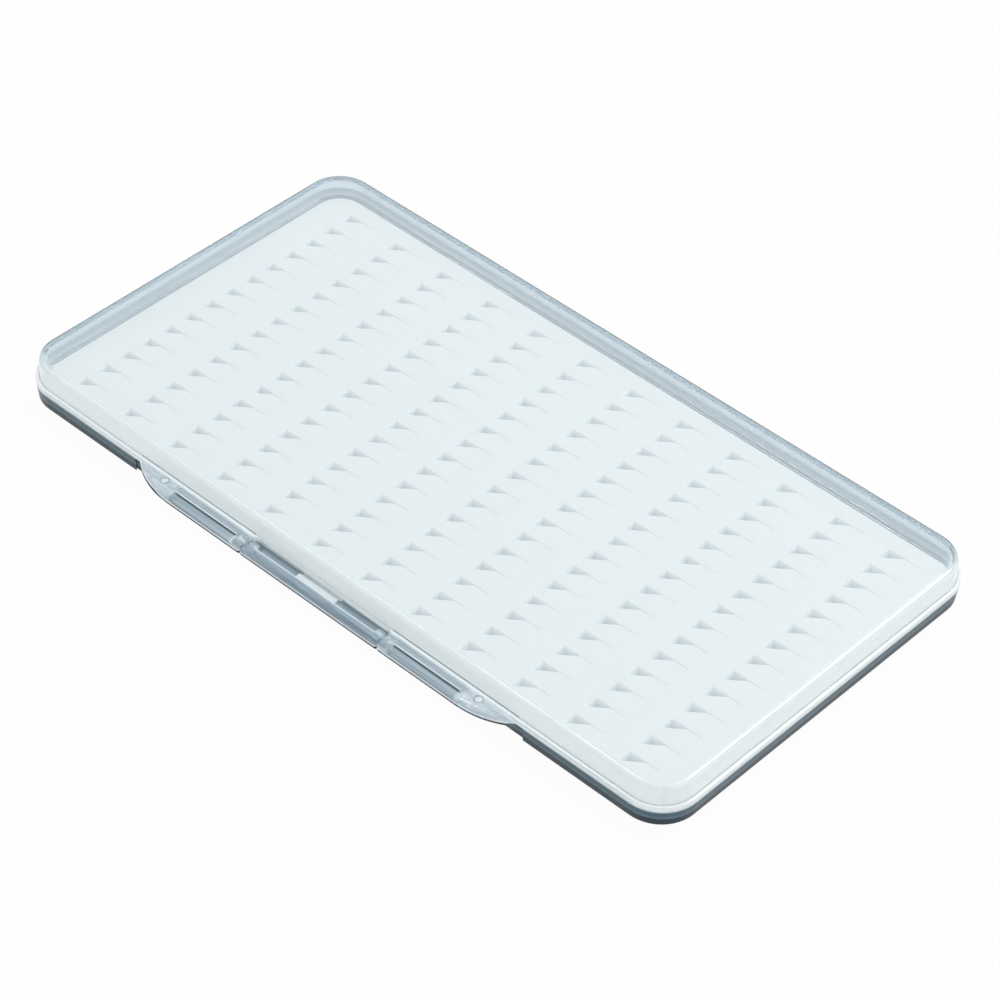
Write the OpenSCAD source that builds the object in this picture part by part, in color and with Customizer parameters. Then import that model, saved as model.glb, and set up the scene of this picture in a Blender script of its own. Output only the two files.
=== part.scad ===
// Slim clear fly box, closed at rest, millimetres.
// The tray stands on Z = 0, X runs along its length and the hinge is on the -Y side.
// Walls and lips are slabs of one round-cornered outline, set in by a distance, and
// each fillet is a ring that follows the same outline.

/* [Body] */
// Length of the box along X
box_l = 188; // [150:1:230]
// Width of the box along Y, without the hinge
box_w = 99.2; // [92:0.2:130]
// Corner radius of both rims, seen from above
corner_r = 9.3; // [8:0.1:14]

/* [Tray] */
// Height of the tray, from its underside to the parting face
tray_h = 3.9; // [3.8:0.1:7]
// Thickness of the tray's floor
tray_floor = 1.2; // [0.8:0.1:1.3]
// Thickness of the tray's wall at the rim
tray_wall = 1.3; // [1.1:0.1:1.4]
// How far the outer wall leans in between the rim and the bottom edge
tray_lean = 0.45; // [0.1:0.05:0.6]
// Radius round the tray's bottom edge
tray_edge_r = 1.2; // [0.6:0.1:1.5]

/* [Lid] */
// Thickness of the lid's rim flange
flange_t = 1.3; // [1.2:0.1:2]
// Width of the flange outside the raised wall
flange_w = 0.9; // [0.6:0.1:1.1]
// Height of the raised panel above the flange
dome_h = 5; // [3.5:0.1:9]
// Thickness of the raised wall
lid_wall = 1.25; // [1:0.05:2]
// Thickness of the top panel
lid_top = 1.3; // [0.9:0.1:2]
// Radius round the top panel's outer edge
lid_edge_r = 1.2; // [0.6:0.1:1.8]
// Depth of the locating lip below the parting face
lip_h = 0.6; // [0.4:0.05:0.6]
// Gap between the locating lip and the tray's wall
lip_gap = 0.15; // [0.1:0.05:0.2]

/* [Slit insert] */
// Thickness of the silicone insert
insert_t = 1.8; // [1.4:0.1:1.9]
// Gap between the insert's edge and the tray's wall
insert_gap = 0.6; // [0.5:0.1:1.5]
// How much squarer the insert's corners are than the tray's
insert_square = 0.9; // [0:0.1:1]
// Number of slits along the box
slit_cols = 12; // [6:1:14]
// Number of slits across the box
slit_rows = 14; // [6:1:16]
// Spacing of the slits along the box
slit_pitch_x = 14.5; // [11:0.1:15]
// Spacing of the slits across the box
slit_pitch_y = 6.3; // [4.5:0.1:6.4]
// Length of the triangular notch that opens each slit
notch_l = 4.2; // [2:0.1:6]
// Width of the notch across its blunt end
notch_w = 3.2; // [1.5:0.1:4]
// Depth of the notch at its deepest point
notch_d = 1.1; // [0.5:0.1:1.2]
// Length of the notch and slit together
slit_l = 8; // [6.5:0.1:10]
// Width of the cut
slit_w = 0.2; // [0.1:0.05:0.3]

/* [Hinge] */
// Distance of the hinge axis outside the rim's edge
hinge_out = 2.9; // [2.8:0.1:3.6]
// Radius of the hinge barrels
barrel_r = 1.45; // [1.35:0.05:1.5]
// Length of the tray's middle knuckle
knuckle_l = 39.6; // [24:0.2:44]
// Gap between the middle knuckle and each arm of the lid
knuckle_gap = 0.3; // [0.2:0.05:0.5]
// Length of the straight part of each arm
arm_l = 22.4; // [18:0.2:26]
// Radius of the curve that brings each arm back to the rim
arm_bend_r = 18.5; // [16:0.5:20]
// Radius of the pins on the middle knuckle
pin_r = 0.8; // [0.6:0.05:0.85]
// Length of each pin
pin_l = 2; // [1.2:0.1:2.2]
// Radial running clearance of the pins in the arms
pin_clear = 0.05; // [0.03:0.01:0.08]

/* [Hidden] */
eps = 0.01;
flat_fn = 48;
corner_fn = 96;

rim_z = tray_h + flange_t;
top_z = rim_z + dome_h;
// Centres of the corner arcs
inner_x = box_l / 2 - corner_r;
inner_y = box_w / 2 - corner_r;
rim_edge_r = 0.3;
inner_edge_r = 0.5;

// The lid's wall and its lip inside the tray's wall
lid_in = flange_w + lid_wall;
lip_out = tray_wall + lip_gap;

// Closing beads, which drag lightly on the tray's far wall
bead_h = 0.1;
bead_l = 20;
bead_x = box_l / 4;

// Slit insert
insert_in = tray_wall + insert_gap;
insert_r = corner_r - insert_in - insert_square;
insert_top = tray_floor + insert_t;
slit_d = insert_t * 0.75;
notch_low_x = notch_l * 0.3;
notch_low_y = -notch_w * 0.6;
// The pattern sits slightly off the insert's middle
field_x = -0.2;
field_y = 0.4;

// Hinge axis, flush with the flange's top face
axis_y = -box_w / 2 - hinge_out;
axis_z = rim_z - barrel_r;
arm_x = knuckle_l / 2 + knuckle_gap;
bend_x = arm_x + arm_l;
bend_y = axis_y + arm_bend_r;
// The bend ends where its outer edge reaches the rim's edge
bend_reach = sqrt(pow(arm_bend_r + barrel_r, 2) - pow(arm_bend_r - hinge_out, 2));
arm_end_x = bend_x + bend_reach;
bend_angle = asin(bend_reach / (arm_bend_r + barrel_r));
// The bend is this much slimmer than the barrel and starts this angle back inside it
bend_step = 0.05;
bend_start = 0.9;
end_round = 0.5;

// Ribs, posts and pockets moulded into the hinge
plate_t = flange_t - 0.05;
rib_reach = hinge_out - 0.6;
rib_t = 2;
inner_rib_t = 2.9;
post_r = 1.1;
post_x = bend_x + 3.2;
post_y = axis_y + barrel_r + 0.25;
post_low = axis_z - 1.15;
dimple_r = 0.85;
dimple_d = 0.15;
window_in = flange_w - 0.35;
window_r = 1.5;
web_t = 0.8;
web_l = knuckle_l - 2 * end_round - rib_t;
centre_rib_l = 11.2;
relief_in = 0.5;
relief_over = 1.5;
socket_r = pin_r + pin_clear;
socket_l = pin_l + 0.5;
// Groove that sets each arm's barrel off from its plate, and two fine lines along the plate
groove_in = 0.3;
groove_w = 0.45;
groove_d = 0.6;
line_w = 0.2;
line_d = 0.12;
line_in = [1.6, 2.5];

// Round-cornered outline of the box, set in from the rim's edge
module outline(inset) {
    r = corner_r - inset;
    square([2 * (inner_x + r), 2 * inner_y], center = true);
    square([2 * inner_x, 2 * (inner_y + r)], center = true);
    for (sx = [-1, 1], sy = [-1, 1])
        translate([sx * inner_x, sy * inner_y]) circle(r, $fn = corner_fn);
}

// Slab with that outline between two heights
module slab(inset, low, high) {
    translate([0, 0, low]) linear_extrude(high - low) outline(inset);
}

// Ring that follows the outline, with the profile drawn by its children.
// The profile's x is the distance in from the outline, its y the height.
module ring(inset) {
    r = corner_r - inset;
    for (k = [0:3]) {
        sx = (k == 0 || k == 3) ? 1 : -1;
        sy = k < 2 ? 1 : -1;
        translate([sx * inner_x, sy * inner_y, 0])
            rotate([0, 0, 90 * k])
                rotate_extrude(angle = 90, $fn = corner_fn) translate([r, 0]) mirror([1, 0]) children();
    }
    for (k = [0, 1]) {
        rotate([0, 0, 180 * k]) side_run(inner_x, inner_y, r) children();
        rotate([0, 0, 90 + 180 * k]) side_run(inner_y, inner_x, r) children();
    }
}

// One straight side of a ring, r outside x = from and half_run long to each side
module side_run(from, half_run, r) {
    translate([from, 0, 0])
        rotate([90, 0, 0]) linear_extrude(2 * half_run, center = true)
            translate([r, 0]) mirror([1, 0]) children();
}

// What a fillet takes off a square corner at the origin, the solid on the +x and -y side
module corner_waste(r) {
    difference() {
        translate([-eps, -r]) square([r + eps, r + eps]);
        translate([r, -r]) circle(r, $fn = flat_fn);
    }
}

// What comes off the tray's outside: the wall's lean and the fillet along its bottom edge
module tray_waste() {
    polygon([[-eps, tray_h - eps], [eps * tray_lean / tray_h, tray_h - eps], [tray_lean, 0], [tray_lean, -eps], [-eps, -eps]]);
    translate([tray_lean, 0]) mirror([0, 1]) corner_waste(tray_edge_r);
}

// Profile across the hinge, extruded along X from x0 over run
module along_x(x0, run) {
    translate([x0, 0, 0]) rotate([90, 0, 90]) linear_extrude(run) children();
}

// Hinge barrel along X, with its ends rounded where they face a neighbour
module barrel(x0, run, round_low, round_high) {
    translate([x0, axis_y, axis_z]) rotate([0, 90, 0])
        rotate_extrude($fn = flat_fn) difference() {
            square([barrel_r, run]);
            if (round_low)
                translate([barrel_r, 0]) rotate(180) corner_waste(end_round);
            if (round_high)
                translate([barrel_r, run]) mirror([1, 0]) corner_waste(end_round);
        }
}

// Rib that joins a barrel to what carries it, kept inside the circle that
// the neighbouring body sweeps when the lid turns
module tray_rib(x0, run) {
    along_x(x0, run) polygon([
        [axis_y, axis_z - barrel_r + 0.1],
        [-box_w / 2 + relief_in + 0.2, axis_z - barrel_r + 0.1],
        [-box_w / 2 + relief_in + 0.2, tray_h - 0.5],
        [axis_y + rib_reach, rim_z - 0.45],
        [axis_y, rim_z - 0.45]
    ]);
}

module lid_rib(x0, run) {
    along_x(x0, run) polygon([
        [axis_y, axis_z - barrel_r + 0.1],
        [axis_y + rib_reach - 0.5, axis_z - barrel_r + 0.1],
        [axis_y + rib_reach, axis_z - barrel_r + 0.7],
        [axis_y + rib_reach, rim_z - eps],
        [axis_y, rim_z - eps]
    ]);
}

// Middle knuckle of the hinge, moulded on the tray
module tray_knuckle() {
    barrel(-knuckle_l / 2, knuckle_l, true, true);
    // Floor of the two pockets behind the barrel
    along_x(-web_l / 2, web_l)
        translate([axis_y, axis_z - barrel_r + 0.1 + eps])
            square([hinge_out + relief_in + 0.2 - eps, web_t]);
    tray_rib(-centre_rib_l / 2, centre_rib_l);
    for (s = [-1, 1])
        tray_rib(s * (knuckle_l / 2 - end_round - rib_t / 2) - rib_t / 2, rib_t);
    // Pins that snap into the lid's arms
    for (s = [-1, 1])
        translate([s * (knuckle_l / 2 + pin_l / 2 - 0.5), axis_y, axis_z])
            rotate([0, 90, 0]) cylinder(h = pin_l + 1, r = pin_r, center = true, $fn = flat_fn);
}

// Straight cut along the top of an arm, its near edge the given distance in from the axis
module plate_cut(from, w, d) {
    translate([arm_x + inner_rib_t, axis_y + from, rim_z - d])
        cube([arm_l - inner_rib_t - rib_t / 2, w, d + 1]);
}

// One arm of the hinge, moulded on the lid, on the +X side
module lid_arm() {
    difference() {
        union() {
            barrel(arm_x, arm_l, true, false);
            // Bend that brings the arm's round nose back to the rim
            translate([bend_x, bend_y, axis_z]) rotate([0, 0, -90 - bend_start])
                rotate_extrude(angle = bend_start + bend_angle, $fn = corner_fn)
                    translate([arm_bend_r, 0]) circle(barrel_r - bend_step, $fn = flat_fn);
            // Flat plate between the rim and the nose
            translate([0, 0, rim_z - plate_t]) linear_extrude(plate_t) {
                translate([arm_x, axis_y])
                    square([arm_l, hinge_out + lid_in - lid_wall / 2]);
                intersection() {
                    translate([bend_x, bend_y]) circle(arm_bend_r, $fn = corner_fn);
                    translate([bend_x - eps, axis_y])
                        square([bend_reach + eps, hinge_out + lid_in - lid_wall / 2]);
                }
            }
            lid_rib(arm_x + end_round, inner_rib_t - end_round);
            lid_rib(bend_x - rib_t / 2, rib_t);
            // Post under the plate
            translate([post_x, post_y, post_low]) cylinder(h = rim_z - post_low - eps, r = post_r, $fn = flat_fn);
        }
        // Below the parting face the arm stays clear of the tray's wall
        translate([arm_x + inner_rib_t + eps, axis_y + rib_reach + post_r, -eps])
            cube([arm_end_x, box_w / 2, tray_h + 2 * eps]);
        translate([post_x + post_r + 0.2, axis_y + rib_reach - 0.3, -eps])
            cube([arm_end_x, box_w / 2, tray_h + 2 * eps]);
        // Socket for the knuckle's pin
        translate([arm_x - eps, axis_y, axis_z]) rotate([0, 90, 0])
            cylinder(h = socket_l, r = socket_r, $fn = flat_fn);
        plate_cut(groove_in, groove_w, groove_d);
        for (y = line_in) plate_cut(y, line_w, line_d);
        // Round mark over the post
        translate([post_x, post_y, rim_z - dimple_d]) cylinder(h = 1, r = dimple_r, $fn = flat_fn);
    }
}

// Opening in the lid's flange that the middle knuckle stands in
module knuckle_window() {
    low_y = axis_y - barrel_r - 1;
    high_y = -box_w / 2 + window_in;
    translate([0, 0, tray_h - 1]) linear_extrude(flange_t + 2) {
        translate([-arm_x, low_y]) square([2 * arm_x, high_y - low_y - window_r]);
        translate([-arm_x + window_r, low_y]) square([2 * (arm_x - window_r), high_y - low_y]);
        for (s = [-1, 1])
            translate([s * (arm_x - window_r), high_y - window_r]) circle(window_r, $fn = flat_fn);
    }
}

module base_tray() {
    color([0.62, 0.7, 0.74, 0.6]) {
        difference() {
            slab(0, 0, tray_h);
            slab(tray_wall, tray_floor, tray_h + 1);
            ring(0) tray_waste();
            translate([0, 0, tray_h]) ring(0) corner_waste(rim_edge_r);
            // Relief in the outer wall that the lid's arms turn past
            translate([-arm_end_x - relief_over, -box_w / 2 - 1, -1])
                cube([2 * (arm_end_x + relief_over), 1 + relief_in, tray_h + 2]);
        }
        tray_knuckle();
    }
}

module lid() {
    color([0.8, 0.88, 0.9, 0.45]) {
        difference() {
            union() {
                slab(0, tray_h, rim_z);
                slab(flange_w, tray_h + eps, top_z);
                slab(lip_out, tray_h - lip_h, tray_h + eps);
            }
            // Hollow, with a round edge under the top panel
            difference() {
                slab(lid_in, tray_h - 1, top_z - lid_top);
                translate([0, 0, top_z - lid_top]) ring(lid_in) corner_waste(inner_edge_r);
            }
            translate([0, 0, top_z]) ring(flange_w) corner_waste(lid_edge_r);
            translate([0, 0, rim_z]) ring(0) corner_waste(rim_edge_r);
            knuckle_window();
        }
        lid_arm();
        mirror([1, 0, 0]) lid_arm();
        // Beads on the far lip that hold the lid shut by drag
        for (s = [-1, 1])
            translate([s * bead_x - bead_l / 2, box_w / 2 - lip_out - eps, tray_h - lip_h + 0.1])
                cube([bead_l, bead_h + eps, lip_h - 0.1 + eps]);
    }
}

// Flat plate with round corners
module round_plate(l, w, r, t) {
    linear_extrude(t) {
        square([l - 2 * r, w], center = true);
        square([l, w - 2 * r], center = true);
        for (sx = [-1, 1], sy = [-1, 1])
            translate([sx * (l / 2 - r), sy * (w / 2 - r)]) circle(r, $fn = corner_fn);
    }
}

// Pit with three sloping sides, deepest near its long edge, carried above the face it cuts
module notch() {
    low = [notch_low_x, notch_low_y, -notch_d];
    grow = (notch_d + 0.1) / notch_d;
    rim = [[0, 0, 0], [0, -notch_w, 0], [notch_l, 0, 0]];
    polyhedron(
        points = concat([low], [for (p = rim) low + (p - low) * grow]),
        faces = [[1, 3, 2], [1, 2, 0], [2, 3, 0], [3, 1, 0]]
    );
}

module slit_insert() {
    color([0.93, 0.96, 0.97])
        difference() {
            translate([0, 0, tray_floor])
                round_plate(box_l - 2 * insert_in, box_w - 2 * insert_in, insert_r, insert_t);
            for (i = [0:slit_cols - 1], j = [0:slit_rows - 1])
                translate([
                    (i - (slit_cols - 1) / 2) * slit_pitch_x - slit_l / 2 + field_x,
                    (j - (slit_rows - 1) / 2) * slit_pitch_y + notch_w / 2 + field_y,
                    insert_top
                ]) {
                    notch();
                    translate([notch_l - 1, -slit_w, -slit_d]) cube([slit_l - notch_l + 1, slit_w, slit_d + 0.1]);
                }
        }
}

base_tray();
lid();
slit_insert();
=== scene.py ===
# %% [markdown]
# # A slim clear fly box
# The object has three moulded pieces: a clear tray, a clear lid that swings on the tray's hinge,
# and a white silicone insert cut with slits that grip flies by the hook. The solids come from the
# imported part, which also says which pieces move together. They could be modelled here again by
# hand, but then the hinge might no longer fit. So this script keeps their shapes and gives them
# what a solid model lacks: plastic, soft silicone with pressed notches, light and a camera.

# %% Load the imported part
import math

import bmesh
import bpy
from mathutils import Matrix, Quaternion, Vector


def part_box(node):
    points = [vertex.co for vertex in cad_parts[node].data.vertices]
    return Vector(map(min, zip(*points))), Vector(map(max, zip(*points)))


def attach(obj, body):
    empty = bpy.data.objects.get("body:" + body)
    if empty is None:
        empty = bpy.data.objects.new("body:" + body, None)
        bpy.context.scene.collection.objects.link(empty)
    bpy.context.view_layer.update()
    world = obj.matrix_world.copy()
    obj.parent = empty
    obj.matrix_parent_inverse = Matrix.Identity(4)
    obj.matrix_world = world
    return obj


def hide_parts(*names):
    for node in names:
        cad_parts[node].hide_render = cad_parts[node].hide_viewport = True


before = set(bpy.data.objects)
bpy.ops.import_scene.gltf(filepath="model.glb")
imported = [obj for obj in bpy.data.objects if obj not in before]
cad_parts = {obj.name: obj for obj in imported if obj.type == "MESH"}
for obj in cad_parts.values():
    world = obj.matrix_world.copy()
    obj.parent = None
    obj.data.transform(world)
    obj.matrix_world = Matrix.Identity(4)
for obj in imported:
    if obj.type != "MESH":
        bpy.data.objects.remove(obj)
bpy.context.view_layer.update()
MM = 0.001
print("nodes:", sorted(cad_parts))

# %% [markdown]
# ## Measures of the rim and the hinge
# The plastic's tones change at the rim and at the hinge, so their places are needed first. What
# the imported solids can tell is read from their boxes, so the looks follow the part if it is
# packed again. Only what a box cannot tell, such as a corner's radius, is written here.

# %% Measures in mm
lid_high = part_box("lid")[1]
RIM_X, RIM_Y, RIM_R = lid_high.x / MM, lid_high.y / MM, 9.3
AXIS, AXIS_Z = 52.5, 3.75
KNUCKLE_X, POCKET_X, ARM_X, RIB_X = 20.0, 23.0, 41.5, 5.6
BEND_X, BEND_Y, BEND_R, ARMS_END = 42.5, 34.0, 18.5, 54.9
BOSS_X, BOSS_Y, BOSS_R = 45.7, -50.8, 0.85
PARTING_Z, PLATE_Z, TOP_Z = 3.9, 5.2, lid_high.z / MM
print("rim's half sizes:", round(RIM_X, 2), round(RIM_Y, 2), "hinge axis at y", -AXIS, "z", AXIS_Z)

# %% [markdown]
# ## Clear plastic
# The tray and the lid are moulded in clear styrene. Light passes through, so the looks come from what
# the smooth faces mirror, how the edges bend the view, and the faint tint that a long way through the
# plastic adds. A glass shader with Volume Absorption gives all three. Thin mouldings also show flow
# lines, small steps and rounded corners that a solid of this size cannot hold, and the shade and
# highlights along them, which are painted here as painted shade and painted highlights. They could be
# painted in an image, but tones set by place stay sharp at any distance. So this class reads an object's
# own coordinates and turns them into soft masks, measured in mm.


# %% Places on an object, read from its coordinates
class Places:
    """Soft masks made from an object's own coordinates, each a socket from 0 to 1."""

    def __init__(self, nt):
        self.nt = nt
        place = nt.nodes.new("ShaderNodeTexCoord")
        split = nt.nodes.new("ShaderNodeSeparateXYZ")
        self.point = place.outputs["Object"]
        nt.links.new(self.point, split.inputs[0])
        self.x, self.y, self.z = split.outputs

    def maths(self, operation, a, b=None):
        """One Math node. Each input is a number or a socket."""
        node = self.nt.nodes.new("ShaderNodeMath")
        node.operation = operation
        for socket, value in zip(node.inputs, (a, b)):
            if isinstance(value, (int, float)):
                socket.default_value = value
            elif value is not None:
                self.nt.links.new(value, socket)
        return node.outputs[0]

    def past(self, value, edge, soft=0.3):
        """1 where the value is past the edge, both in mm, across a soft step."""
        ramp = self.nt.nodes.new("ShaderNodeMapRange")
        ramp.interpolation_type = "SMOOTHSTEP"
        ramp.inputs["From Min"].default_value = (edge - soft / 2) * MM
        ramp.inputs["From Max"].default_value = (edge + soft / 2) * MM
        self.nt.links.new(value, ramp.inputs["Value"])
        return ramp.outputs["Result"]

    def below(self, value, edge, soft=0.3):
        """1 where the value is under the edge."""
        return self.past(self.minus(value), -edge, soft)

    def between(self, value, low, high, soft=0.3):
        """1 where the value is from low to high."""
        return self.maths("SUBTRACT", self.past(value, low, soft), self.past(value, high, soft))

    def size(self, value):
        """The value without its sign, so a mask is the same on both sides."""
        return self.maths("ABSOLUTE", value)

    def minus(self, value):
        """The value with its sign changed."""
        return self.maths("MULTIPLY", value, -1)

    def root(self, a, b):
        """Length of the vector with these two parts."""
        squares = self.maths("MULTIPLY", a, a), self.maths("MULTIPLY", b, b)
        return self.maths("SQRT", self.maths("ADD", *squares))

    def both(self, *masks):
        """1 where every mask is."""
        result = masks[0]
        for mask in masks[1:]:
            result = self.maths("MULTIPLY", result, mask)
        return result

    def either(self, *masks):
        """1 where any mask is."""
        result = masks[0]
        for mask in masks[1:]:
            result = self.maths("MAXIMUM", result, mask)
        return result

    def without(self, mask):
        """1 where the mask is 0."""
        return self.maths("SUBTRACT", 1, mask)

    def blend(self, mask, first, second):
        """Mixes two numbers, or two colours, by a mask."""
        colour = any(isinstance(v, tuple) or getattr(v, "type", "") == "RGBA" for v in (first, second))
        node = self.nt.nodes.new("ShaderNodeMix")
        node.data_type = "RGBA" if colour else "FLOAT"
        factor, *values = [s for s in node.inputs if s.enabled]
        self.nt.links.new(mask, factor)
        for socket, value in zip(values, (first, second)):
            if isinstance(value, tuple):
                socket.default_value = (*value, 1)
            elif isinstance(value, (int, float)):
                socket.default_value = value
            else:
                self.nt.links.new(value, socket)
        return next(s for s in node.outputs if s.enabled)

    def layers(self, base, *steps):
        """Lays each tone over what is there, where its mask is 1."""
        for mask, tone in steps:
            base = self.blend(mask, base, tone)
        return base


# %% Places that only this box has
class BoxPlaces(Places):
    """Distances that follow the box's round outline and the sweep of its hinge arms."""

    def __init__(self, nt):
        super().__init__(nt)
        self.toward = self.minus(self.y)  # grows towards the hinge

    def outline(self):
        """Distance outside the centres of the corner arcs."""
        x = self.maths("MAXIMUM", self.maths("SUBTRACT", self.size(self.x), (RIM_X - RIM_R) * MM), 0)
        y = self.maths("MAXIMUM", self.maths("SUBTRACT", self.size(self.y), (RIM_Y - RIM_R) * MM), 0)
        return self.root(x, y)

    def arm(self):
        """Distance from the centres that the hinge's barrels and the arms' bends are swept round."""
        x = self.maths("MAXIMUM", self.maths("SUBTRACT", self.size(self.x), BEND_X * MM), 0)
        return self.root(x, self.maths("SUBTRACT", self.toward, BEND_Y * MM))

    def beside(self, x, y):
        """Distance from the points (x, y) and (-x, y), given in mm."""
        along = self.maths("SUBTRACT", self.size(self.x), x * MM)
        return self.root(along, self.maths("SUBTRACT", self.y, y * MM))

    def streaks(self):
        """Soft streaks that run along the box, as flow lines do in a moulding."""
        squeeze = self.nt.nodes.new("ShaderNodeVectorMath")
        squeeze.operation = "MULTIPLY"
        squeeze.inputs[1].default_value = (0.02, 1, 1)
        noise = self.nt.nodes.new("ShaderNodeTexNoise")
        noise.inputs["Scale"].default_value = 1600
        noise.inputs["Detail"].default_value = 2
        self.nt.links.new(self.point, squeeze.inputs[0])
        self.nt.links.new(squeeze.outputs[0], noise.inputs["Vector"])
        ramp = self.nt.nodes.new("ShaderNodeMapRange")
        ramp.inputs["From Min"].default_value = 0.42
        ramp.inputs["From Max"].default_value = 0.58
        self.nt.links.new(noise.outputs["Fac"], ramp.inputs["Value"])
        return ramp.outputs["Result"]

    def streaked(self, dark, light):
        """Two tones, mixed in streaks."""
        return self.blend(self.streaks(), dark, light)


print("corner arcs' centres at x", round(RIM_X - RIM_R, 2), "and y", round(RIM_Y - RIM_R, 2), "mm")


# %% [markdown]
# A path tracer's lamps cannot shine through glass without a lot of noise. So the shadow rays and
# the rays of diffuse light pass straight through the plastic, and only what the eye sees is bent.


# %% Clear plastic
def clear_plastic(name, tint, density, coat):
    """Clear plastic without its surface values, and the places to set them by."""
    mat = bpy.data.materials.new(name)
    mat.use_nodes = True
    nt = mat.node_tree
    nt.nodes.clear()
    out = nt.nodes.new("ShaderNodeOutputMaterial")
    glass = nt.nodes.new("ShaderNodeBsdfPrincipled")
    glass.inputs["IOR"].default_value = 1.45
    glass.inputs["Coat Weight"].default_value = coat
    glass.inputs["Coat Roughness"].default_value = 0.03
    straight = nt.nodes.new("ShaderNodeBsdfTransparent")
    rays = nt.nodes.new("ShaderNodeLightPath")
    either = nt.nodes.new("ShaderNodeMath")
    either.operation = "MAXIMUM"
    mix = nt.nodes.new("ShaderNodeMixShader")
    nt.links.new(rays.outputs["Is Shadow Ray"], either.inputs[0])
    nt.links.new(rays.outputs["Is Diffuse Ray"], either.inputs[1])
    nt.links.new(either.outputs[0], mix.inputs["Fac"])
    nt.links.new(glass.outputs[0], mix.inputs[1])
    nt.links.new(straight.outputs[0], mix.inputs[2])
    nt.links.new(mix.outputs[0], out.inputs["Surface"])
    absorb = nt.nodes.new("ShaderNodeVolumeAbsorption")
    absorb.inputs["Color"].default_value = (*tint, 1)
    absorb.inputs["Density"].default_value = density
    nt.links.new(absorb.outputs[0], out.inputs["Volume"])
    return mat, glass, BoxPlaces(nt)


def set_surface(glass, at, colour, clear, rough, dull):
    """Links the surface values. Where the mask dull is 1 the surface mirrors nothing."""
    coat = glass.inputs["Coat Weight"]
    link = at.nt.links.new
    link(at.blend(dull, 0.5, 0), glass.inputs["Specular IOR Level"])
    link(at.blend(dull, coat.default_value, 0), coat)
    link(colour, glass.inputs["Base Color"])
    link(clear, glass.inputs["Transmission Weight"])
    link(rough, glass.inputs["Roughness"])
    print("surface set by", len(at.nt.nodes), "nodes")


# %% [markdown]
# ## Lid plastic
# Light gathers in a clear moulding where the plastic is thick or bends. So the far rim reads as a pale
# blue band that ends in a dark line, the two near sides of the skirt look white, and the hinge arms are
# blue grey. Glass alone gives the bends but not the white. The near and right sides are painted paler
# than the far and left ones, which is painted light, with a little haze there that lets less light
# through. The dark lines at the rim's far and left edges, under the hinge arms and in their groove are
# painted shade, and the light lines along the arms' edges are painted highlights.

# %% Lid plastic: rim and haze
lid_plastic, glass, at = clear_plastic("clear_lid_plastic", (0.64, 0.79, 0.82), 60, 0.6)
rim = at.past(at.outline(), RIM_R - 2.0, 0.4)
# Painted light: the near and right sides of the rim are painted paler than the far and left ones; there
# the surface is also rougher and less clear, as a haze.
hazy_painted_pale = at.both(rim, at.either(at.past(at.x, RIM_X - 5, 6), at.past(at.toward, RIM_Y - 5, 6)))
skirt = at.both(hazy_painted_pale, at.past(at.outline(), RIM_R - 1.2))
inner = at.both(at.past(at.outline(), RIM_R - 3.4, 1), at.below(at.z, TOP_Z - 1.2, 0.1))
hinge = at.past(at.toward, RIM_Y)
# Painted shade: a dark line along the rim's outer edge on the far and left sides, which mirrors nothing.
outer = at.both(at.past(at.outline(), RIM_R - 0.25, 0.1), at.without(hazy_painted_pale), at.without(hinge))
# Painted shade: a near-black line on the top's rounded edge on the far and left sides, which mirrors
# nothing.
painted_brim_shade = at.both(
    at.past(at.outline(), RIM_R - 1.7, 0.1), at.past(at.z, TOP_Z - 0.6, 0.1), at.without(hazy_painted_pale),
)
print("rim starts", round(RIM_Y - 2.0, 2), "mm and hinge", round(RIM_Y, 2), "mm from the middle line")

# %% Lid plastic: lines of the hinge arms
along = at.between(at.size(at.x), POCKET_X, ARM_X, 0.6)
top = at.past(at.z, PLATE_Z - 0.2, 0.1)
barrel = at.both(at.past(at.toward, AXIS - 0.3), along)
nose = at.both(hinge, at.past(at.size(at.x), ARM_X + 1, 1))
# Painted shade: the groove between the barrel and the plate is painted dark and mirrors nothing.
groove_painted_shade = at.both(
    at.between(at.toward, AXIS - 0.84, AXIS - 0.3, 0.1), along, at.past(at.z, PLATE_Z - 0.7),
)
# Painted highlight: a light line along the groove's edge on the hinge arms.
lip_painted_highlight = at.both(at.between(at.toward, AXIS - 1.2, AXIS - 0.86, 0.1), along, top)
fine_lines = at.both(
    at.either(*(at.between(at.toward, AXIS - d, AXIS - d + 0.2, 0.1) for d in (1.8, 2.7))),
    along, at.past(at.z, PLATE_Z - 0.3, 0.1),
)
# Painted shade: a dark line at the foot of the raised wall, along the hinge arms.
painted_foot_shade = at.both(
    at.between(at.toward, RIM_Y - 0.95, RIM_Y - 0.7, 0.1),
    at.between(at.size(at.x), KNUCKLE_X, ARMS_END), at.between(at.z, PLATE_Z - 0.1, PLATE_Z + 0.15, 0.1),
)
print("arms run from", KNUCKLE_X, "to", ARMS_END, "mm on both sides")

# %% Lid plastic: lower edge of the arms and the round marks over their posts
# The dark line under the arms is painted shade along their lower outline, and mirrors nothing; it climbs
# a little where the left arm bends.
climb = at.maths("MULTIPLY", at.past(at.minus(at.x), BEND_X + 2, 4), 0.4 * MM)
height = at.maths("SUBTRACT", at.z, climb)
under = at.both(hinge, at.past(at.arm(), BEND_R + 0.93, 0.15), at.below(height, AXIS_Z - 0.05, 0.15))
# Painted highlight: a light line along the arms' lower edge, above the painted dark line under them.
edge = at.both(
    hinge, at.past(at.arm(), BEND_R + 0.6), at.between(height, AXIS_Z - 0.05, AXIS_Z + 0.4, 0.15),
)
from_mark = at.beside(BOSS_X, BOSS_Y)
mark = at.both(at.below(from_mark, BOSS_R, 0.1), top)
# Painted shade: a dark ring round each round mark.
ring = at.both(at.between(from_mark, BOSS_R, BOSS_R + 0.25, 0.15), top)
print("marks at x", BOSS_X, "y", BOSS_Y, "radius", BOSS_R, "mm")

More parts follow.
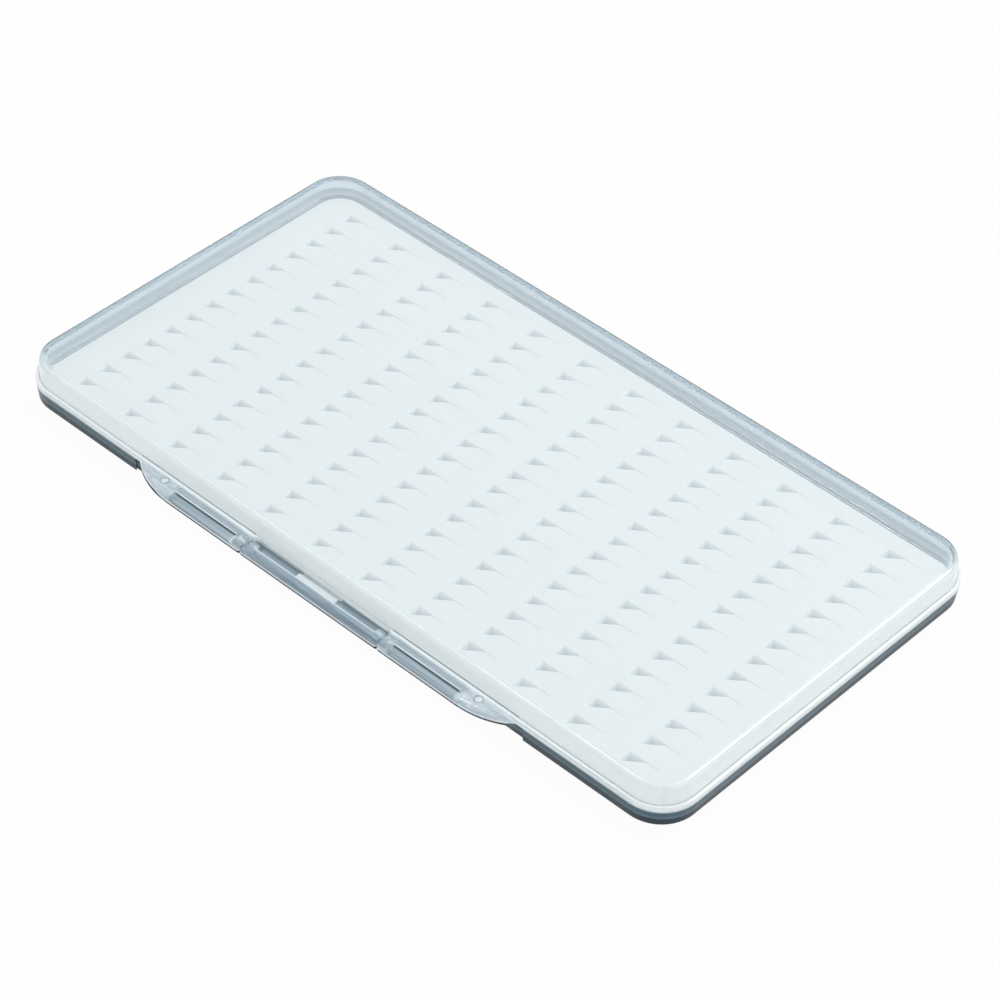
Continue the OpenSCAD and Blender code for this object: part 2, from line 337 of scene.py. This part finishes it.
# %% Lid plastic: colour, clearness and roughness
colour = at.layers(
    at.blend(rim, (0.97, 0.99, 1.0), (0.58, 0.72, 0.84)),
    (outer, (0.24, 0.32, 0.38)),
    (painted_brim_shade, (0.04, 0.05, 0.06)),
    (hazy_painted_pale, (0.93, 0.99, 1.0)),
    (hinge, at.streaked((0.58, 0.69, 0.76), (0.74, 0.83, 0.89))),
    (barrel, at.streaked((0.25, 0.34, 0.4), (0.4, 0.5, 0.57))),
    (painted_foot_shade, (0.4, 0.48, 0.53)),
    (edge, (0.85, 0.92, 0.96)),
    (under, (0.03, 0.04, 0.05)),
    (groove_painted_shade, (0.12, 0.17, 0.21)),
    (fine_lines, (0.42, 0.52, 0.6)),
    (lip_painted_highlight, (0.92, 0.97, 1.0)),
    (ring, (0.3, 0.37, 0.42)),
    (mark, (0.86, 0.92, 0.94)),
)
drawn = at.either(groove_painted_shade, lip_painted_highlight, ring, painted_brim_shade, painted_foot_shade, edge, under, fine_lines, mark)
clear = at.layers(
    at.blend(rim, 0.97, 0.75), (hazy_painted_pale, 0.5), (skirt, 0.25), (hinge, 0.7), (nose, 0.45), (barrel, 0.55),
    (drawn, 0.25),
)
rough = at.layers(at.blend(rim, 0.01, 0.05), (hazy_painted_pale, 0.2), (inner, 0.25), (hinge, 0.06))
set_surface(glass, at, colour, clear, rough, dull=at.either(groove_painted_shade, under, outer, painted_brim_shade))

# %% [markdown]
# ## Tray plastic
# Seen from the side the tray is dark: its low wall stands for the shade under the box, bent up by the
# plastic, and that shade is painted into its colour, darkest at its bottom, with a painted paler line
# above that. Its rim's top and its floor stay clear. In the recess behind the lid's rim the plastic is
# painted darker next to the rim, as painted shade. The knuckle in the middle of the hinge has the
# streaks of the arms, painted highlights along its crest and its lower edge and a painted dark line
# under it, and its centre rib is almost white, which is painted light.

# %% Tray plastic: wall and recess
tray_plastic, glass, at = clear_plastic("clear_tray_plastic", (0.5, 0.62, 0.66), 200, 0)
side = at.past(at.outline(), RIM_R - 1.8, 0.4)
outside = at.both(at.past(at.outline(), RIM_R - 0.8, 0.3), at.below(at.z, PARTING_Z - 0.25, 0.2))
# Painted shade: the low wall is painted dark, darkest at its bottom, with a painted paler line above.
wall = at.either(outside, at.both(side, at.below(at.z, 1.2, 0.4)))
painted_shade_band = at.both(wall, at.below(at.z, 1.8, 0.8))
painted_light_line = at.both(wall, at.between(at.z, 1.9, 2.4, 0.3))
# Painted shade: the recess is painted darker next to the lid's rim, under its edge, and paler towards
# the barrel.
recess = at.both(at.below(at.size(at.x), ARMS_END - 4, 9), at.past(at.toward, RIM_Y - 0.75, 0.2))
near_barrel = at.past(at.toward, AXIS - 2.2, 2)
print("dark wall up to", PARTING_Z - 0.25, "mm, pale recess", ARMS_END - 4, "mm to both sides")

# %% Tray plastic: knuckle
barrel = at.past(at.toward, AXIS - 0.9)
# Painted shade: a near-black line along the knuckle's lower outline, which mirrors nothing.
under = at.both(at.past(at.toward, AXIS + 0.93, 0.15), at.below(at.z, AXIS_Z - 0.05, 0.15))
# Painted highlight: a light line along the knuckle's lower edge.
edge = at.both(at.past(at.toward, AXIS + 0.6), at.between(at.z, AXIS_Z - 0.05, AXIS_Z + 0.4, 0.15))
# Painted light: the centre rib is painted almost white, as the light its top catches; its streaks are
# flow lines.
rib = at.both(at.below(at.size(at.x), RIB_X), at.between(at.toward, RIM_Y - 0.6, AXIS - 1.2))
# Painted highlight: a light line along the knuckle's crest, between the barrel and its pockets.
crest_painted_highlight = at.both(
    at.between(at.toward, AXIS - 1.3, AXIS - 0.55, 0.15), at.past(at.z, AXIS_Z + 0.6),
    at.below(at.size(at.x), KNUCKLE_X - 2.6),
)
print("the knuckle is", 2 * KNUCKLE_X, "mm long, its centre rib", 2 * RIB_X, "mm")

# %% Tray plastic: colour, clearness and roughness
colour = at.layers(
    at.blend(side, (0.9, 0.94, 0.96), (0.55, 0.66, 0.72)),
    (wall, (0.05, 0.125, 0.18)),
    (painted_shade_band, (0.012, 0.037, 0.06)),
    (painted_light_line, (0.13, 0.2, 0.24)),
    (recess, at.blend(near_barrel, (0.42, 0.52, 0.58), (0.75, 0.84, 0.9))),
    (barrel, at.streaked((0.3, 0.4, 0.47), (0.48, 0.58, 0.65))),
    (crest_painted_highlight, (0.85, 0.92, 0.96)),
    (edge, (0.85, 0.92, 0.96)),
    (under, (0.03, 0.04, 0.05)),
    (rib, at.streaked((0.62, 0.71, 0.76), (0.9, 0.95, 0.98))),
)
drawn = at.either(under, rib, edge, crest_painted_highlight)
clear = at.layers(at.blend(side, 0.9, 0.6), (wall, 0.45), (recess, 0.6), (drawn, 0.3))
rough = at.blend(recess, at.blend(wall, 0.02, 0.35), 0.06)
half_dull = at.both(wall, at.blend(recess, 0.5, 0))
set_surface(glass, at, colour, clear, rough, dull=at.either(under, half_dull))

# %% [markdown]
# ## Measures of the insert
# The insert fills the tray between its round corners, and its notches stand in 12 columns and
# 14 rows. The rows and columns were counted, and a notch's sizes were judged by their pitch.

# %% Measures of the insert
insert_low, insert_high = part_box("slit_insert")
COLUMNS, ROWS = 12, 14
PITCH_X, PITCH_Y = 14.5 * MM, 6.3 * MM
NOTCH_L, NOTCH_W, NOTCH_D = 4.2 * MM, 3.3 * MM, 1.1 * MM
SLIT_L, CUT = 8 * MM, 0.08 * MM
FIELD_SHIFT = Vector((-0.2 * MM, 0.4 * MM, 0))
INSERT_CORNER = 6.5 * MM
print("insert in mm:", [round(v / MM, 2) for v in (*insert_low, *insert_high)])

# %% [markdown]
# ## White silicone
# The insert is soft, matt and slightly translucent, so a little light is scattered under its skin. Its
# pits are painted darker the deeper they go, as painted shade. A fine grain, too small to model, comes
# from a bump.


# %% White silicone
def white_silicone(name, top):
    """Matt silicone whose colour is painted darker below its top face, given in mm, as shade in its
    pits.
    """
    mat = bpy.data.materials.new(name)
    mat.use_nodes = True
    nt = mat.node_tree
    skin = nt.nodes["Principled BSDF"]
    at = Places(nt)
    # Painted shade: the colour darkens below the top face, so the pits look darker the deeper they go.
    painted_pit_shade, face = (0.52, 0.59, 0.62), (0.84, 0.89, 0.9)
    nt.links.new(at.blend(at.past(at.z, top - 0.45, 0.9), painted_pit_shade, face), skin.inputs["Base Color"])
    skin.inputs["Roughness"].default_value = 0.55
    skin.inputs["Subsurface Weight"].default_value = 0.15
    skin.inputs["Subsurface Radius"].default_value = (1, 1, 1)
    skin.inputs["Subsurface Scale"].default_value = 0.6 * MM
    grain = nt.nodes.new("ShaderNodeTexNoise")
    grain.inputs["Scale"].default_value = 900
    grain.inputs["Detail"].default_value = 4
    bump = nt.nodes.new("ShaderNodeBump")
    bump.inputs["Strength"].default_value = 0.08
    bump.inputs["Distance"].default_value = 0.05 * MM
    nt.links.new(at.point, grain.inputs["Vector"])
    nt.links.new(grain.outputs["Fac"], bump.inputs["Height"])
    nt.links.new(bump.outputs["Normal"], skin.inputs["Normal"])
    return mat


silicone = white_silicone("white_silicone", insert_high.z / MM)
print("silicone's top face at z", round(insert_high.z / MM, 2), "mm")

# %% [markdown]
# ## Insert: one notch
# Each place for a fly starts as a three-sided pit, deepest near its long edge, and runs out into
# a cut. A pit could be cut from a slab 168 times, but booleans leave hard edges, and this one is
# pressed into soft silicone, so its rim is round. So one cell of the pattern is modelled as rings
# round the notch's outline, with the pit's facets inside and a flat margin outside.


# %% Outline of a notch
def notch_outline():
    """Points round a notch, clockwise from above, so its inside is on the right."""
    meet = NOTCH_L * (1 - CUT / NOTCH_W)
    third, two_thirds = 1.2 * MM, 2.6 * MM
    slope = NOTCH_W / NOTCH_L
    flat = [
        (0, 0), (2 * MM, 0), (NOTCH_L, 0), (SLIT_L, 0), (SLIT_L, -CUT), (meet, -CUT),
        (two_thirds, slope * two_thirds - NOTCH_W), (third, slope * third - NOTCH_W),
        (0, -NOTCH_W), (0, -NOTCH_W / 2),
    ]
    return [Vector((x, y, 0)) for x, y in flat]


def grown(outline, by, z):
    """The outline moved outwards and to a height, less so at the far end of the cut."""
    ring = []
    for k, p in enumerate(outline):
        before, after = outline[k - 1], outline[(k + 1) % len(outline)]
        a, b = (p - before).normalized(), (after - p).normalized()
        side = Vector((-a.y, a.x, 0))
        mid = (side + Vector((-b.y, b.x, 0))).normalized()
        fade = 0.3 if p.x > NOTCH_L else 1
        reach = by / max(0.5, mid.dot(side))
        ring.append(p + mid * reach * fade + Vector((0, 0, z * fade)))
    return ring


print("notch outline has", len(notch_outline()), "points")


# %% One cell of the slit pattern
def mesh_from(bm, name):
    """A Blender mesh from a bmesh, which is freed."""
    mesh = bpy.data.meshes.new(name)
    bm.to_mesh(mesh)
    bm.free()
    return mesh


def band(bm, outer, inner):
    """Faces between two loops of as many vertices."""
    for k in range(len(outer)):
        n = (k + 1) % len(outer)
        bm.faces.new((outer[k], inner[k], inner[n], outer[n]))


def notch_cell():
    """One cell, centred on the origin, its flat face at z = 0."""
    shift = Vector((-SLIT_L / 2, NOTCH_W / 2, 0))
    outline = notch_outline()
    bm = bmesh.new()

    def vertex(x, y, z):
        """A vertex given from the notch's own corner."""
        return bm.verts.new(Vector((x, y, z)) + shift)

    rim_steps = (0.28 * MM, 0), (0.1 * MM, -0.03 * MM), (0, -0.12 * MM)
    rings = [grown(outline, by, z) for by, z in rim_steps]
    margin, middle, inner = [[vertex(*v) for v in ring] for ring in rings]
    band(bm, margin, middle)
    band(bm, middle, inner)
    # Facets down to the pit's deepest point, then the cut's two sides
    bottom = vertex(NOTCH_L * 0.3, -NOTCH_W * 0.6, -NOTCH_D)
    tip = vertex(NOTCH_L, -CUT / 2, -0.3 * MM)
    end = vertex(SLIT_L, -CUT / 2, -0.05 * MM)
    for k in (0, 1, 6, 7, 8, 9):
        bm.faces.new((inner[k], bottom, inner[(k + 1) % len(inner)]))
    cut_faces = (
        (inner[2], tip, end, inner[3]), (inner[3], end, inner[4]), (inner[4], end, tip, inner[5]),
        (inner[2], bottom, tip), (inner[5], tip, bottom), (inner[5], bottom, inner[6]),
    )
    for face in cut_faces:
        bm.faces.new(face)
    # Flat margin, out to the cell's corners
    hx, hy = PITCH_X / 2, PITCH_Y / 2
    corners = [bm.verts.new((x, y, 0)) for x, y in ((-hx, hy), (hx, hy), (hx, -hy), (-hx, -hy))]
    for start, stop, corner in ((0, 3, 0), (3, 4, 1), (4, 8, 2), (8, 10, 3)):
        edge = [margin[k % len(margin)] for k in range(start, stop + 1)]
        bm.faces.new((corners[corner], *edge, corners[(corner + 1) % 4]))
    bmesh.ops.recalc_face_normals(bm, faces=bm.faces)
    if sum(f.normal.z * f.calc_area() for f in bm.faces) < 0:
        bmesh.ops.reverse_faces(bm, faces=bm.faces)
    for f in bm.faces:
        f.smooth = True
    return mesh_from(bm, "notch_cell")


cell = bpy.data.objects.new("notch_cell_pattern", notch_cell())
print("one cell has", len(cell.data.polygons), "faces")

# %% [markdown]
# ## Insert: border
# The margin, the rounded top edge, the sides and the underside have no pattern. They are rings
# round the insert's outline. The flat margin has a point at each cell's corner, so that no gap
# is left where it meets the field of cells.


# %% Border of the insert
def round_outline(inset, z, steps):
    """Points round the insert, each corner an arc of as many steps."""
    r = INSERT_CORNER - inset
    cx, cy = insert_high.x - INSERT_CORNER, insert_high.y - INSERT_CORNER
    points = []
    for quarter, (sx, sy) in enumerate(((1, 1), (-1, 1), (-1, -1), (1, -1))):
        for k in range(steps + 1):
            a = math.radians(90 * quarter + 90 * k / steps)
            points.append(Vector((sx * cx + r * math.cos(a), sy * cy + r * math.sin(a), z)))
    return points


def field_sides():
    """Points round the field of cells, one at each cell's corner, as a list for each side."""
    fx, fy = COLUMNS * PITCH_X / 2, ROWS * PITCH_Y / 2
    signs = (1, 1), (-1, 1), (-1, -1), (1, -1)
    ends = [Vector((sx * fx, sy * fy, insert_high.z)) + FIELD_SHIFT for sx, sy in signs]
    counts = COLUMNS, ROWS, COLUMNS, ROWS
    return [[a.lerp(b, k / n) for k in range(n)] for a, b, n in zip(ends, ends[1:] + ends[:1], counts)]


def insert_border(steps=10, edge=0.3 * MM, lift=0.03 * MM):
    """The insert without its field of cells. It stays a hair above the tray's floor."""
    top, under = insert_high.z, insert_low.z + lift
    profile = [(edge, top)]
    for k in range(1, 4):
        a = math.radians(30 * k)
        profile.append((edge * (1 - math.sin(a)), top - edge * (1 - math.cos(a))))
    profile += [(0, under + edge), (edge, under)]
    bm = bmesh.new()
    loops = [[bm.verts.new(v) for v in round_outline(inset, z, steps)] for inset, z in profile]
    for outer, inner in zip(loops, loops[1:]):
        band(bm, outer, inner)
    bm.faces.new(list(reversed(loops[-1])))
    sides = [[bm.verts.new(v) for v in side] for side in field_sides()]
    first, per = loops[0], steps + 1
    for quarter, side in enumerate(sides):
        start = quarter * per + steps // 2
        arc = [first[(start + k) % len(first)] for k in range(per + 1)]
        following = sides[(quarter + 1) % len(sides)]
        bm.faces.new([side[0], *arc, following[0], *reversed(side[1:])])
    bmesh.ops.recalc_face_normals(bm, faces=bm.faces)
    for f in bm.faces:
        f.smooth = True
    return mesh_from(bm, "insert_border")


border = bpy.data.objects.new("insert_border", insert_border())
print("border has", len(border.data.polygons), "faces")

# %% [markdown]
# ## Insert: Geometry Nodes that lay out the cells
# The cells are copied to the points of a grid. Columns, rows and pitches are inputs of the tree,
# so another slit pattern needs no new mesh. The border is joined, and the shared corners welded.


# %% The tree
def slit_field_tree():
    """The tree, and its inputs' identifiers by name."""
    tree = bpy.data.node_groups.new("slit_field", "GeometryNodeTree")
    face = tree.interface
    face.new_socket("Geometry", in_out="INPUT", socket_type="NodeSocketGeometry")
    face.new_socket("Geometry", in_out="OUTPUT", socket_type="NodeSocketGeometry")
    ids = {}
    kinds = {
        "Cell": "Object", "Columns": "Int", "Rows": "Int", "Pitch X": "Float", "Pitch Y": "Float",
        "Place": "Vector", "Material": "Material",
    }
    for name, kind in kinds.items():
        ids[name] = face.new_socket(name, in_out="INPUT", socket_type=f"NodeSocket{kind}").identifier
    node, link = tree.nodes.new, tree.links.new
    given, out = node("NodeGroupInput"), node("NodeGroupOutput")

    def span(count, pitch):
        """Length of a row of points: one pitch fewer than there are columns or rows."""
        less, times = node("ShaderNodeMath"), node("ShaderNodeMath")
        less.operation, times.operation = "SUBTRACT", "MULTIPLY"
        less.inputs[1].default_value = 1
        link(given.outputs[count], less.inputs[0])
        link(less.outputs[0], times.inputs[0])
        link(given.outputs[pitch], times.inputs[1])
        return times.outputs[0]

    grid = node("GeometryNodeMeshGrid")
    link(span("Columns", "Pitch X"), grid.inputs["Size X"])
    link(span("Rows", "Pitch Y"), grid.inputs["Size Y"])
    link(given.outputs["Columns"], grid.inputs["Vertices X"])
    link(given.outputs["Rows"], grid.inputs["Vertices Y"])
    info = node("GeometryNodeObjectInfo")
    link(given.outputs["Cell"], info.inputs["Object"])
    place = node("GeometryNodeInstanceOnPoints")
    link(grid.outputs["Mesh"], place.inputs["Points"])
    link(info.outputs["Geometry"], place.inputs["Instance"])
    lift = node("GeometryNodeTransform")
    link(place.outputs[0], lift.inputs["Geometry"])
    link(given.outputs["Place"], lift.inputs["Translation"])
    join = node("GeometryNodeJoinGeometry")
    link(lift.outputs[0], join.inputs[0])
    link(given.outputs["Geometry"], join.inputs[0])
    real = node("GeometryNodeRealizeInstances")
    link(join.outputs[0], real.inputs[0])
    weld = node("GeometryNodeMergeByDistance")
    weld.inputs["Distance"].default_value = 0.01 * MM
    link(real.outputs[0], weld.inputs["Geometry"])
    coat = node("GeometryNodeSetMaterial")
    link(weld.outputs[0], coat.inputs["Geometry"])
    link(given.outputs["Material"], coat.inputs["Material"])
    link(coat.outputs[0], out.inputs[0])
    print(tree.name, "has", len(tree.nodes), "nodes")
    return tree, ids


# %% [markdown]
# ## Insert: a finished piece
# The tree's result is turned into a plain mesh, so nothing has to be worked out again when the piece
# moves. Each finished piece is parented to the body it rides on, and the solid it replaces is hidden.


# %% Insert
def plain_copy(obj, name):
    """The object's mesh with its modifiers applied. The object and its first mesh are removed."""
    bpy.context.view_layer.update()
    seen = bpy.context.evaluated_depsgraph_get()
    made = obj.evaluated_get(seen)
    mesh = bpy.data.meshes.new_from_object(made, preserve_all_data_layers=True, depsgraph=seen)
    first = obj.data
    bpy.data.objects.remove(obj)
    bpy.data.meshes.remove(first)
    mesh.name = name
    return mesh


def piece(name, mesh, body, replaced):
    """Puts a finished mesh in the scene, parents it to its body and hides the solid it replaces."""
    obj = bpy.data.objects.new(name, mesh)
    bpy.context.scene.collection.objects.link(obj)
    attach(obj, body)
    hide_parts(replaced)
    print(name, "has", len(mesh.polygons), "faces")


tree, ids = slit_field_tree()
bpy.context.scene.collection.objects.link(border)
field = border.modifiers.new("slit_field", "NODES")
field.node_group = tree
values = {
    "Cell": cell, "Columns": COLUMNS, "Rows": ROWS, "Pitch X": PITCH_X, "Pitch Y": PITCH_Y,
    "Place": FIELD_SHIFT + Vector((0, 0, insert_high.z)), "Material": silicone,
}
for key, value in values.items():
    field[ids[key]] = value
insert_mesh = plain_copy(border, "slit_insert_soft")
insert_mesh.set_sharp_from_angle(angle=math.radians(35))
bpy.data.objects.remove(cell)
piece("slit_insert_soft", insert_mesh, "base", "slit_insert")

# %% [markdown]
# ## Tray and lid
# Both are thin mouldings whose solids are already exact, down to the small rounds of their edges.
# What they lack is smooth shading: the solids are loose triangles, and averaged normals would
# bulge the flat panels. So a copy is welded, only its true corners stay sharp, and its normals
# are weighted to follow the large flat faces.

# %% Clear shells from the solids
HAIR = 0.05 * MM


def shell_from(node_name, piece_name, material, body):
    """A welded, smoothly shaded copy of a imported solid."""
    bm = bmesh.new()
    bm.from_mesh(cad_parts[node_name].data)
    bmesh.ops.remove_doubles(bm, verts=bm.verts, dist=0.001 * MM)
    if body == "lid":  # a hair of air, so the two plastics never share a face
        for v in bm.verts:
            if abs(v.co.z - PARTING_Z * MM) < HAIR / 5:
                v.co.z += HAIR
    mesh = mesh_from(bm, piece_name)
    for p in mesh.polygons:
        p.use_smooth = True
    mesh.set_sharp_from_angle(angle=math.radians(30))
    mesh.materials.clear()
    mesh.materials.append(material)
    carrier = bpy.data.objects.new("carrier", mesh)
    bpy.context.scene.collection.objects.link(carrier)
    weights = carrier.modifiers.new("weights", "WEIGHTED_NORMAL")
    weights.keep_sharp = True
    piece(piece_name, plain_copy(carrier, piece_name), body, node_name)


shell_from("base_tray", "clear_tray", tray_plastic, "base")
shell_from("lid", "clear_lid", lid_plastic, "lid")

# %% [markdown]
# ## Stage
# Clear plastic shows what is round it, so the room is as much a part of its looks as the shader.
# A photo tent is imitated: a white floor, a white surround, and high soft lamps behind the box and
# on its left. The floor shines a little of its own for the camera and for what glass shows, so
# the ground reads white and still keeps the box's shadow. It lies as low as the lid reaches when
# it is laid open.


# %% Floor, and the rays that see it white
def seen_rays(nt):
    """1 for the eye's own rays and for what gloss and clear plastic show, 0 for other light."""
    rays = nt.nodes.new("ShaderNodeLightPath")
    one, two = nt.nodes.new("ShaderNodeMath"), nt.nodes.new("ShaderNodeMath")
    one.operation = two.operation = "MAXIMUM"
    nt.links.new(rays.outputs["Is Camera Ray"], one.inputs[0])
    nt.links.new(rays.outputs["Is Glossy Ray"], one.inputs[1])
    nt.links.new(one.outputs[0], two.inputs[0])
    nt.links.new(rays.outputs["Is Transmission Ray"], two.inputs[1])
    return two.outputs[0]


def mixed(nt, share, first, second):
    """The output of a Mix Shader node."""
    mix = nt.nodes.new("ShaderNodeMixShader")
    nt.links.new(share, mix.inputs["Fac"])
    nt.links.new(first.outputs[0], mix.inputs[1])
    nt.links.new(second.outputs[0], mix.inputs[2])
    return mix.outputs[0]


def floor_white(own_light):
    """A matt white ground. The seen rays take this share of its look from its own light."""
    mat = bpy.data.materials.new("floor_white")
    mat.use_nodes = True
    nt = mat.node_tree
    nt.nodes.clear()
    out = nt.nodes.new("ShaderNodeOutputMaterial")
    matt = nt.nodes.new("ShaderNodeBsdfDiffuse")
    matt.inputs["Color"].default_value = (0.9, 0.9, 0.9, 1)
    glow = nt.nodes.new("ShaderNodeEmission")
    glow.inputs["Color"].default_value = (1, 1, 1, 1)
    share = nt.nodes.new("ShaderNodeMath")
    share.operation = "MULTIPLY"
    share.inputs[1].default_value = own_light
    nt.links.new(seen_rays(nt), share.inputs[0])
    nt.links.new(mixed(nt, share.outputs[0], matt, glow), out.inputs["Surface"])
    return mat


bm = bmesh.new()
bmesh.ops.create_circle(bm, cap_ends=True, segments=64, radius=3)
floor_mesh = mesh_from(bm, "floor")
floor_mesh.materials.append(floor_white(own_light=0.95))
floor = bpy.data.objects.new("floor", floor_mesh)
floor.location.z = 2 * AXIS_Z * MM - lid_high.z - HAIR
bpy.context.scene.collection.objects.link(floor)
print("floor at", round(floor.location.z / MM, 2), "mm")

# %% World
world = bpy.data.worlds.new("white_room")
bpy.context.scene.world = world
world.use_nodes = True
nt = world.node_tree
nt.nodes.clear()
sky_out = nt.nodes.new("ShaderNodeOutputWorld")
lit_sky, seen_sky = nt.nodes.new("ShaderNodeBackground"), nt.nodes.new("ShaderNodeBackground")
for sky, strength in ((lit_sky, 0.69), (seen_sky, 1)):
    sky.inputs["Color"].default_value = (1, 1, 1, 1)
    sky.inputs["Strength"].default_value = strength
nt.links.new(mixed(nt, seen_rays(nt), lit_sky, seen_sky), sky_out.inputs["Surface"])
print("the room lights at", round(lit_sky.inputs["Strength"].default_value, 2), "and is seen at 1")


# %% Lamps
def soft_lamp(name, place, size, power):
    """A rectangular softbox that faces the box."""
    lamp = bpy.data.lights.new(name, "AREA")
    lamp.shape = "RECTANGLE"
    lamp.size, lamp.size_y = size
    lamp.energy = power
    obj = bpy.data.objects.new(name, lamp)
    obj.location = place
    obj.rotation_euler = (-Vector(place)).to_track_quat("-Z", "Y").to_euler()
    bpy.context.scene.collection.objects.link(obj)
    print(name, "at", place, "gives", power, "W")


soft_lamp("back_softbox", (0.26, 0.65, 0.9), (0.14, 0.35), 4.1)
soft_lamp("left_softbox", (-0.33, -0.1, 0.92), (0.06, 0.2), 0.55)

# %% [markdown]
# ## Camera
# The photograph looks down on the box from its front right, from about 75 cm, with a long lens
# and a slight tilt of the horizon. The angles were fitted to the box's outline.

# %% Camera at the photograph's place
AZIMUTH, ELEVATION, ROLL = math.radians(41.5415), math.radians(42.4752), math.radians(2.4014)
camera = bpy.data.cameras.new("camera")
camera.sensor_width = 36
camera.lens = 126.53
camera_obj = bpy.data.objects.new("camera", camera)
bpy.context.scene.collection.objects.link(camera_obj)
flat = math.cos(ELEVATION)
back = Vector((math.sin(AZIMUTH) * flat, -math.cos(AZIMUTH) * flat, math.sin(ELEVATION)))
camera_obj.location = (0.371545, -0.414641, 0.506253)
camera_obj.rotation_mode = "QUATERNION"
camera_obj.rotation_quaternion = Quaternion(back, ROLL) @ (-back).to_track_quat("-Z", "Y")
bpy.context.scene.camera = camera_obj
bpy.context.scene.view_settings.view_transform = "Standard"
print("camera is", round(camera_obj.location.length, 3), "m from the box")
